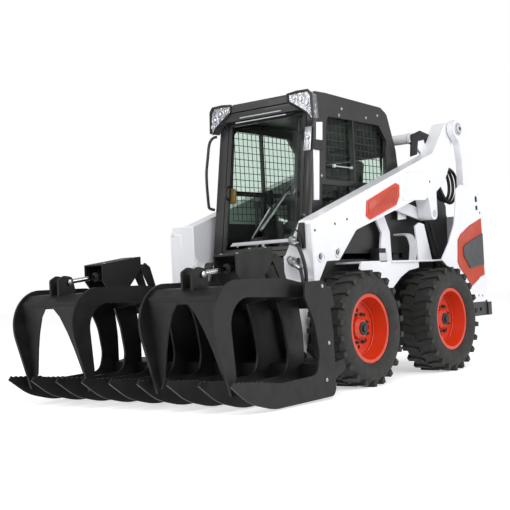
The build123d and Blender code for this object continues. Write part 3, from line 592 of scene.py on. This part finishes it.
def make_wiper():
    """Wiper arm, its bright blade, and the seal strips of the door glass."""
    wiper = [pipe([(-30, -100, 1045), (60, -86, 1140), (150, -68, 1240), (215, -52, 1322)], 6),
             pipe([(-60, -112, 1020), (30, -97, 1115), (120, -78, 1215)], 3.5),
             bar((200, -70, 1300), (226, -44, 1340), 16, 16)]
    done(join(wiper), "wiper", "cab_door", grip_plastic)
    blade = plate([(-66, -113, 1005), (-58, -116, 1000), (90, -84, 1200), (82, -82, 1206)], (0, -7, 0))
    done(blade, "wiper_blade", "cab_door", zinc_plate, 1)
    frame_lines = []
    for x in (-296, 296):
        frame_lines.append(pipe([(x, -112, 965), (x, -80, 1170), (x, -20, 1600), (x, 8, 1790)], 4.5))
    done(join(frame_lines), "door_seal", "cab_door", grip_plastic)


def make_pillar_fittings():
    """Latch bracket, white strip of painted highlight, clip, window latch, grab rod and bolts of the cab's
    pillars.
    """
    bracket = [plate([(338, -24, 1562), (398, -24, 1562), (398, -2, 1722), (338, -2, 1722)], (0, 5, 0)),
               bar((350, -16, 1590), (350, -2, 1690), 9, 16), bar((386, -12, 1640), (372, -24, 1560), 7, 12),
               bar((372, -30, 1652), (372, -10, 1650), 15, 18)]
    done(join(bracket), "latch_bracket", "chassis", zinc_plate, 1.5)
    # The white enamel strip along the pillar's front corner is a painted highlight: it stands in for the
    # reflection of the lamps on the rounded black pillar.
    strip = [(23, 1748), (93, 1755), (82, 1632), (41, 1562), (11, 1227), (-50, 1225), (-34, 1400),
             (-26, 1557), (12, 1627)]
    piece = inset_tray(upright(CAB_SIDE, strip), (4, 0, 0), 6, 1.5)
    done(piece, "pillar_highlight_strip", "chassis", white_enamel, 1)
    clip = [block((CAB_SIDE - 2, -24, 1560), (432, 84, 1630)), bar((424, -6, 1596), (436, -6, 1596), 14, 16)]
    done(join(clip), "pillar_clip", "chassis", grip_plastic, 5)
    knob = [bar((CAB_SIDE, 196, 1464), (438, 196, 1464), 12, 20),
            bar((428, 196, 1464), (428, 403, 1462), 4, 10),
            bar((CAB_SIDE, 403, 1462), (438, 403, 1462), 9, 16)]
    done(join(knob), "window_latch", "chassis", pale_enamel, 1)
    rod = [(-420, -17, 1753), (-452, -60, 1752), (-452, -94, 1584), (-452, -118, 1476), (-452, -107, 1264),
           (-452, -100, 1236), (-420, -77, 1229)]
    done(pipe(rod, 10), "grab_rod", "chassis", grip_plastic)
    spots = [(336, 1868), (794, 1866), (56, 1392), (939, 1463), (300, 1820), (640, 1835)]
    for side, turn in SIDES:
        bolts(f"cab_bolts_{side}", "chassis", upright(turn * CAB_SIDE, spots), 8, 6, (turn, 0, 0))


def make_door_fittings():
    """Sill bolts, ledge and handle of the door."""
    slope = 0.159  # the door leans back by this much for each millimetre up from the cab's foot
    sill = [(x, -120 + (z - 870) * slope, z) for x, z in ((-203, 960), (-202, 898), (-29, 966), (23, 953))]
    bolts("sill_bolts", "cab_door", sill, 10, 5, (0, -1, 0.16))
    ledge = plate([(-262, -107, 958), (266, -107, 958), (240, -107, 982), (-236, -107, 982)], (0, -14, 0))
    done(ledge, "door_ledge", "cab_door", pale_enamel, 3)
    handle = pipe([(-296, -66, 1290), (-296, -100, 1292), (-296, -92, 1380), (-296, -54, 1382)], 8)
    done(handle, "door_handle", "cab_door", grip_plastic)


def make_visor():
    """Dark panel above the door with two pale lines."""
    visor = plate([(-330, -22, 1838), (330, -22, 1838), (250, -36, 1892), (-250, -36, 1892)], (0, -10, 0))
    done(visor, "visor", "chassis", black_enamel, 4)
    lines = []
    for z, half in ((1853, 180), (1822, 220)):
        lines.append(pipe([(-half, -40, z), (half, -40, z)], 4, False))
    done(join(lines), "visor_trim", "chassis", pale_enamel)


def make_lamps():
    """Dark hoods round the lamps, and bright reflector cups on their faces."""
    for side, turn in SIDES:
        hood = [pipe([(turn * 252, -50, 1904), (turn * 250, -52, 1950), (turn * 330, -52, 1956),
                      (turn * 418, -52, 1954), (turn * 441, -50, 1925), (turn * 448, -49, 1775)], 9, False),
                pipe([(turn * 430, -49, 1766), (turn * 396, -50, 1812), (turn * 330, -50, 1856),
                      (turn * 256, -50, 1900)], 5, False)]
        done(join(hood), f"lamp_hood_{side}", "chassis", grip_plastic)
        cups = []
        for x, z, radius in ((300, 1918, 22), (352, 1902, 30), (402, 1868, 26), (424, 1822, 15)):
            cups.append(ring((turn * x, -49, z), radius, 4, (0, 1, 0), 24))
            cups.append(bar((turn * x, -48, z), (turn * x, -56, z), radius * 0.45, 16))
        done(join(cups), f"lamp_cups_{side}", "chassis", hard_chrome, 1)


# ---- arms, couplers and towers -------------------------------------------------
def make_tower_hoses():
    """Three hoses that loop out behind the left arm's root, each wider than the one before it."""
    for number, x in enumerate((530, 557, 584)):
        out = 12 * number
        route = upright(x, [(1468, 1500), (1520, 1506), (1585 + out, 1470), (1618 + out, 1390),
                            (1606 + out, 1310), (1550, 1262 - out), (1470, 1262 - out), (1400, 1300),
                            (1350, 1366)])
        hose(f"tower_hose_{number + 1}", route, 24, "lift_arms", hose_rubber)


def make_arm_details():
    """Pressed panels, bosses, ports, pin heads and end plates of the lift arms."""
    panel = [(778, 1427), (812, 1450), (1137, 1470), (1150, 1430), (1115, 1262), (1080, 1244), (780, 1232),
             (758, 1260)]
    for side, turn in SIDES:
        piece = inset_tray(upright(turn * (ARM_SIDE - 1), panel), (turn * 6, 0, 0), 16, 3)
        done(piece, f"arm_panel_{side}", "lift_arms", white_enamel, 2)
        rings, plugs = [], []
        for y, z in ((-275, 843), (-83, 870)):
            rings.append(ring((turn * (ARM_SIDE + 2), y, z), 30, 6, parts=28))
            plugs.append(bar((turn * (ARM_SIDE - 4), y, z), (turn * (ARM_SIDE + 2), y, z), 30 * 0.62, 24))
        for y, z in ((-319, 1009), (-95, 1053), (47, 1085), (1170, 1385)):
            plugs.append(bar((turn * (ARM_SIDE - 4), y, z), (turn * (ARM_SIDE + 1.5), y, z), 9, 16))
        done(join(rings), f"arm_bosses_{side}", "lift_arms", white_enamel)
        done(join(plugs), f"arm_ports_{side}", "lift_arms", grey_enamel, 1)
        pins = [bar((turn * (LINK_SIDE - 1), *TOP_PIN), (turn * (LINK_SIDE + 18), *TOP_PIN), 34, 28),
                ring((turn * (LINK_SIDE + 4), *TOP_PIN), 44, 5, parts=32)]
        done(join(pins), f"top_pin_{side}", f"rear_link_{side}", pale_enamel, 2)
        bolt = bar((turn * (LINK_SIDE + 12), *TOP_PIN), (turn * (LINK_SIDE + 21), *TOP_PIN), 15, 6)
        done(bolt, f"top_pin_bolt_{side}", f"rear_link_{side}", cast_iron, 1)
        tab = [ring((turn * ARM_SIDE, 1215, 1150), 22, 5, parts=24),
               bar((turn * (ARM_SIDE - 4), 1215, 1150), (turn * (ARM_SIDE + 3), 1215, 1150), 15, 20)]
        done(join(tab), f"tab_pin_{side}", "lift_arms", pale_enamel, 1)
        inner, outer, front, foot, head = turn * 505, turn * (ARM_SIDE - 2), LEG_FRONT + 1, 700, 1060
        end = inset_tray([(inner, front, foot), (inner, front, head), (outer, front, head),
                          (outer, front, foot)], (0, -4, 0), 14, 2)
        done(end, f"arm_end_plate_{side}", "lift_arms", white_enamel, 2)


def make_cross_tube_details():
    """Hook plate and collars of the cross tube, and the panel on the far leg."""
    outline = [(1120, 1745), (1250, 1785), (1390, 1765), (1381, 1640), (1330, 1660), (1300, 1720),
               (1210, 1700), (1190, 1600), (1095, 1576)]
    hook = plate(upright(495, outline), (16, 0, 0))
    done(hook, "torque_tube_hook", "lift_arms", black_plate, 6)
    collars = []
    for x in (-470, -150, 150, 470):
        collars.append(ring((x, *CROSS_TUBE), 39, 5, parts=28))
    done(join(collars), "torque_tube_collars", "lift_arms", pale_enamel)
    panel = [(-587, LEG_FRONT, 699), (-587, LEG_FRONT, 1110), (-388, LEG_FRONT, 1110), (-388, LEG_FRONT, 840)]
    done(inset_tray(panel, (0, -3, 0), 10, 1), "far_arm_panel", "lift_arms", white_enamel, 1)


def make_couplers():
    """Quick couplers and their block on the left leg, with hoses, tether and the ports of the arm."""
    parts = []
    for x, z, reach in ((455, 962, 70), (432, 838, 118)):
        parts.append(bar((x, -356, z), (x + reach * 0.5, -392, z - reach * 0.28), 25, 28))
        parts.append(bar((x + reach * 0.45, -388, z - reach * 0.25),
                         (x + reach, -400, z - reach * 0.55), 19, 28))
        parts.append(ring((x + reach * 0.25, -374, z - reach * 0.14), 26, 4, (0.86, -0.3, -0.4), 28))
        parts.append(bar((x, LEG_FRONT, z), (x, LEG_FRONT - 20, z), 18, 20))
    done(join(parts), "quick_couplers", "lift_arms", zinc_plate, 2)
    manifold = plate([(520, LEG_FRONT, 1062), (556, LEG_FRONT, 1062), (556, LEG_FRONT, 900),
                      (500, LEG_FRONT, 900), (500, LEG_FRONT, 980)], (0, -22, 0))
    done(manifold, "coupler_block", "lift_arms", grip_plastic, 4)
    upper = [(498, -350, 948), (520, -392, 930), (548, -410, 900), (572, -412, 850), (584, -404, 780),
             (580, -392, 700), (556, -380, 620), (520, -372, 580), (500, -368, 570)]
    hose("coupler_hose_upper", upper, 24, "lift_arms", hose_rubber)
    lower = [(492, -350, 834), (520, -392, 806), (552, -412, 770), (576, -424, 700), (566, -416, 640),
             (535, -398, 560), (498, -390, 540)]
    hose("coupler_hose_lower", lower, 22, "lift_arms", hose_rubber)
    wire = pipe([(470, -352, 1010), (500, -372, 1030), (530, -372, 980), (548, -386, 900)], 5)
    done(wire, "coupler_tether", "lift_arms", grip_plastic)
    ports = [ring((ARM_SIDE + 2, y, z), 20, 3, parts=20) for y, z in ((-252, 840), (-65, 868))]
    done(join(ports), "port_rings", "lift_arms", pale_enamel)


def make_tower_details():
    """Slots, bolts, plates and pins of the towers, and the boxes under the arms."""
    sunk, proud = TOWER_SIDE - 2, TOWER_SIDE + 1.5
    for side, turn in SIDES:
        slots = [bar((turn * sunk, 1716, 1272), (turn * proud, 1716, 1272), 17, 24),
                 side_block(turn, (sunk, 1700, 1242), (proud, 1733, 1272)),
                 side_block(turn, (sunk, 1702, 1180), (proud, 1736, 1214)),
                 bar((turn * sunk, 1770, 1160), (turn * proud, 1770, 1160), 8, 16)]
        done(join(slots), f"tower_slots_{side}", "chassis", grip_plastic, 1)
        bolts(f"tower_bolts_{side}", "chassis", upright(turn * TOWER_SIDE, [(1680, 520), (1740, 516)]), 7, 4,
              (turn, 0, 0))
        pin = bar((turn * (LINK_SIDE - 1), *FOOT_PIN), (turn * (LINK_SIDE + 10), *FOOT_PIN), 30, 28)
        done(pin, f"link_pin_{side}", f"rear_link_{side}", pale_enamel, 2)
        gusset = plate(upright(turn * 452, [(954, 1226), (1060, 1204), (1060, 1118), (942, 1108)]),
                       (turn * 8, 0, 0))
        done(gusset, f"slotted_plate_{side}", "chassis", white_enamel, 2)
        cover = plate(upright(turn * 606, [(423, 798), (519, 798), (519, 861), (423, 861)]), (turn * 6, 0, 0))
        done(cover, f"blank_plate_{side}", "chassis", pale_enamel, 2)
        box = side_block(turn, (420, 600, 812), (500, 690, 900))
        done(box, f"junction_box_{side}", "chassis", grip_plastic, 6)


def make_side_lines():
    """Four sleeved lines that rise from the left mudguard and turn in through a bulkhead plate."""
    for number in range(4):
        y = 905 + 25 * number
        route = [(560, y, 806), (566, y + 2, 850), (572, y + 4, 905), (562, y + 3, 955), (540, y + 10, 990),
                 (500, y + 22, 1000), (462, y + 30, 1000), (410, y + 34, 1000)]
        hose(f"side_line_{number + 1}", route, 16, "chassis", line_sleeve)
    guide = plate(upright(400, [(880, 960), (1040, 960), (1040, 1060), (880, 1060)]), (14, 0, 0))
    done(guide, "line_bulkhead", "chassis", black_plate, 4)


# ---- inside the cab ------------------------------------------------------------
def swell(pad, steps=20, most=0.014):
    """Blow a pad up as filled cloth, each point by no more than that many metres."""
    start = [vertex.co.copy() for vertex in pad.data.vertices]
    pick(pad)
    cloth = pad.modifiers.new("cloth", "CLOTH")
    cloth.settings.use_pressure = True
    cloth.settings.uniform_pressure_force = 4
    cloth.settings.effector_weights.gravity = 0
    for step in range(1, steps + 1):
        bpy.context.scene.frame_set(step)
    bpy.ops.object.modifier_apply(modifier="cloth")
    bpy.context.scene.frame_set(1)
    for vertex, first in zip(pad.data.vertices, start):
        moved = vertex.co - first
        if moved.length > most:
            vertex.co = first + moved.normalized() * most


def make_pads():
    """Seat cushion and backrest, swollen like filled vinyl covers."""
    cushion = block((-225, 400, 1060), (225, 800, 1128))
    back = block((-215, 790, 1130), (215, 880, 1590))
    pick(back)
    bpy.ops.transform.rotate(value=radians(8), orient_axis="X", center_override=place(0, 800, 1130))
    bpy.ops.object.transform_apply(location=True, rotation=True, scale=True)
    for pad in (cushion, back):
        modify(pad, "BEVEL", width=0.03, segments=3)
        modify(pad, "REMESH", mode="VOXEL", voxel_size=0.008)
        swell(pad)
        modify(pad, "SUBSURF", levels=1, render_levels=1)
    done(cushion, "seat_cushion", "chassis", seat_vinyl)
    done(back, "seat_backrest", "chassis", seat_vinyl)
    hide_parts("seat")
    base = plate([(-180, 430, 1000), (180, 430, 1000), (205, 420, 1062), (-205, 420, 1062)], (0, 400, 0))
    done(base, "seat_base", "chassis", grip_plastic, 8)
    head = block((-120, 905, 1590), (120, 960, 1680))
    modify(head, "BEVEL", width=0.024, segments=4)
    done(head, "headrest", "chassis", seat_vinyl)


def make_interior():
    """Lever boots, displays, lap bar pads, pedals, the front lever and the strut."""
    for side, turn in SIDES:
        boot = [bar((turn * 335, 470, 1150 + 14 * fold), (turn * 335, 470, 1160 + 14 * fold),
                    34 - 5 * fold, 24) for fold in range(4)]
        done(join(boot), f"lever_boot_{side}", "chassis", grip_plastic, 2)
        pod = side_block(turn, (310, 8, 1268), (372, 40, 1375))
        casing = grip_plastic if side == "left" else amber_plastic
        done(pod, f"display_pod_{side}", "chassis", casing, 8)
        pad = bar((turn * 60, 480, 1290), (turn * 250, 480, 1290), 30, 28)
        done(pad, f"lap_pad_{side}", "lap_bar", seat_vinyl, 8)
        pedal = plate([(turn * 90, -20, 930), (turn * 200, -20, 930), (turn * 200, 60, 1010),
                       (turn * 90, 60, 1010)], (0, -6, 8))
        done(pedal, f"pedal_{side}", "chassis", cast_iron, 2)
    lever = [bar((-300, 235, 1050), (-300, 250, 1250), 12, 20),
             bar((-300, 250, 1240), (-300, 252, 1290), 26, 24)]
    done(join(lever), "front_lever", "chassis", grip_plastic, 4)
    strut = [bar((-180, 475, 1358), (-200, 300, 1196), 7, 16),
             bar((-192, 330, 1224), (-210, 169, 1074), 12, 16)]
    done(join(strut), "lap_bar_strut", "chassis", pale_enamel)


# ---- grapple and rear ----------------------------------------------------------
def make_grapple_details():
    """End plate bolts, pin collars and heads, pressure pipes and guard bolts of the grapple."""
    for side, turn in SIDES:
        spots = upright(turn * GRAPPLE_SIDE, [(-700, 660), (-660, 330), (-700, 120)])
        bolts(f"end_plate_bolts_{side}", "attachment", spots, 8, 4, (turn, 0, 0))
        collars = [ring((turn * x, *CLAW_HINGE), 30, 6, parts=28) for x in (250, 298, 802, 850)]
        done(join(collars), f"claw_pin_collars_{side}", "attachment", black_plate)
        eye = [bar((turn * 500, *CLAW_EYE), (turn * 494, *CLAW_EYE), 18, 24),
               bar((turn * 600, *CLAW_EYE), (turn * 606, *CLAW_EYE), 18, 24)]
        done(join(eye), f"claw_eye_pin_{side}", f"claw_{side}", zinc_plate, 1)
        line = pipe([(turn * 590, -760, 832), (turn * 596, -800, 842), (turn * 596, -960, 822),
                     (turn * 590, -1080, 806)], 6)
        done(line, f"claw_pipe_{side}", f"claw_barrel_{side}", zinc_plate)
        spots = [(turn * 550 + dx, -1130 + 340 * t, 864 + 44 * t) for dx in (-60, 60) for t in (0.12, 0.88)]
        bolts(f"guard_bolts_{side}", f"claw_{side}", spots, 7, 4, (0, 0, 1))


def make_rear():
    """Tail lamps, surround of the grille, latch of the tailgate and bolts of the bumper."""
    for side, turn in SIDES:
        lamp = inset_tray([(turn * 628, 1800, 700), (turn * 684, 1800, 700), (turn * 684, 1800, 840),
                           (turn * 628, 1800, 840)], (0, 14, 0), 8, 3)
        done(lamp, f"tail_lamp_{side}", "chassis", red_plastic, 3)
    surround = pipe([(-300, 1858, 596), (300, 1858, 596), (300, 1858, 1010), (-300, 1858, 1010),
                     (-300, 1858, 596)], 6, False)
    done(surround, "grille_frame", "tailgate", grey_enamel)
    latch = inset_tray([(250, 1855, 520), (350, 1855, 520), (350, 1855, 570), (250, 1855, 570)], (0, 10, 0),
                       10, 5)
    done(latch, "tailgate_latch", "tailgate", grip_plastic, 3)
    flush = 0.01  # the bumper is the rearmost face, so its bolt heads lie level with it
    bolts("bumper_bolts", "chassis", [(x, 1890, 412) for x in (-600, -450, 450, 600)], 12, flush, (0, 1, 0))


# ---- the whole machine ---------------------------------------------------------
set_camera()
set_world()
make_stage()
# Places and sizes of the soft boxes in metres, and their power in watts.
area_light("key", (6, -5, 6), (0, 0, 0.8), (5, 5), 420)
area_light("side", (7, 3, 3), (0, 0, 0.8), (4, 4), 160)
area_light("front", (-3, -8, 4), (0, 0, 0.6), (5, 4), 200)
bpy.context.scene.view_settings.view_transform = "Standard"
dress_nodes()
make_cab_shell()
make_badges()
make_wheel_trim()
make_wire_screens()
make_wiper()
make_pillar_fittings()
make_door_fittings()
make_visor()
make_lamps()
make_arm_details()
make_cross_tube_details()
make_couplers()
make_tower_hoses()
make_tower_details()
make_side_lines()
make_pads()
make_interior()
make_grapple_details()
make_rear()
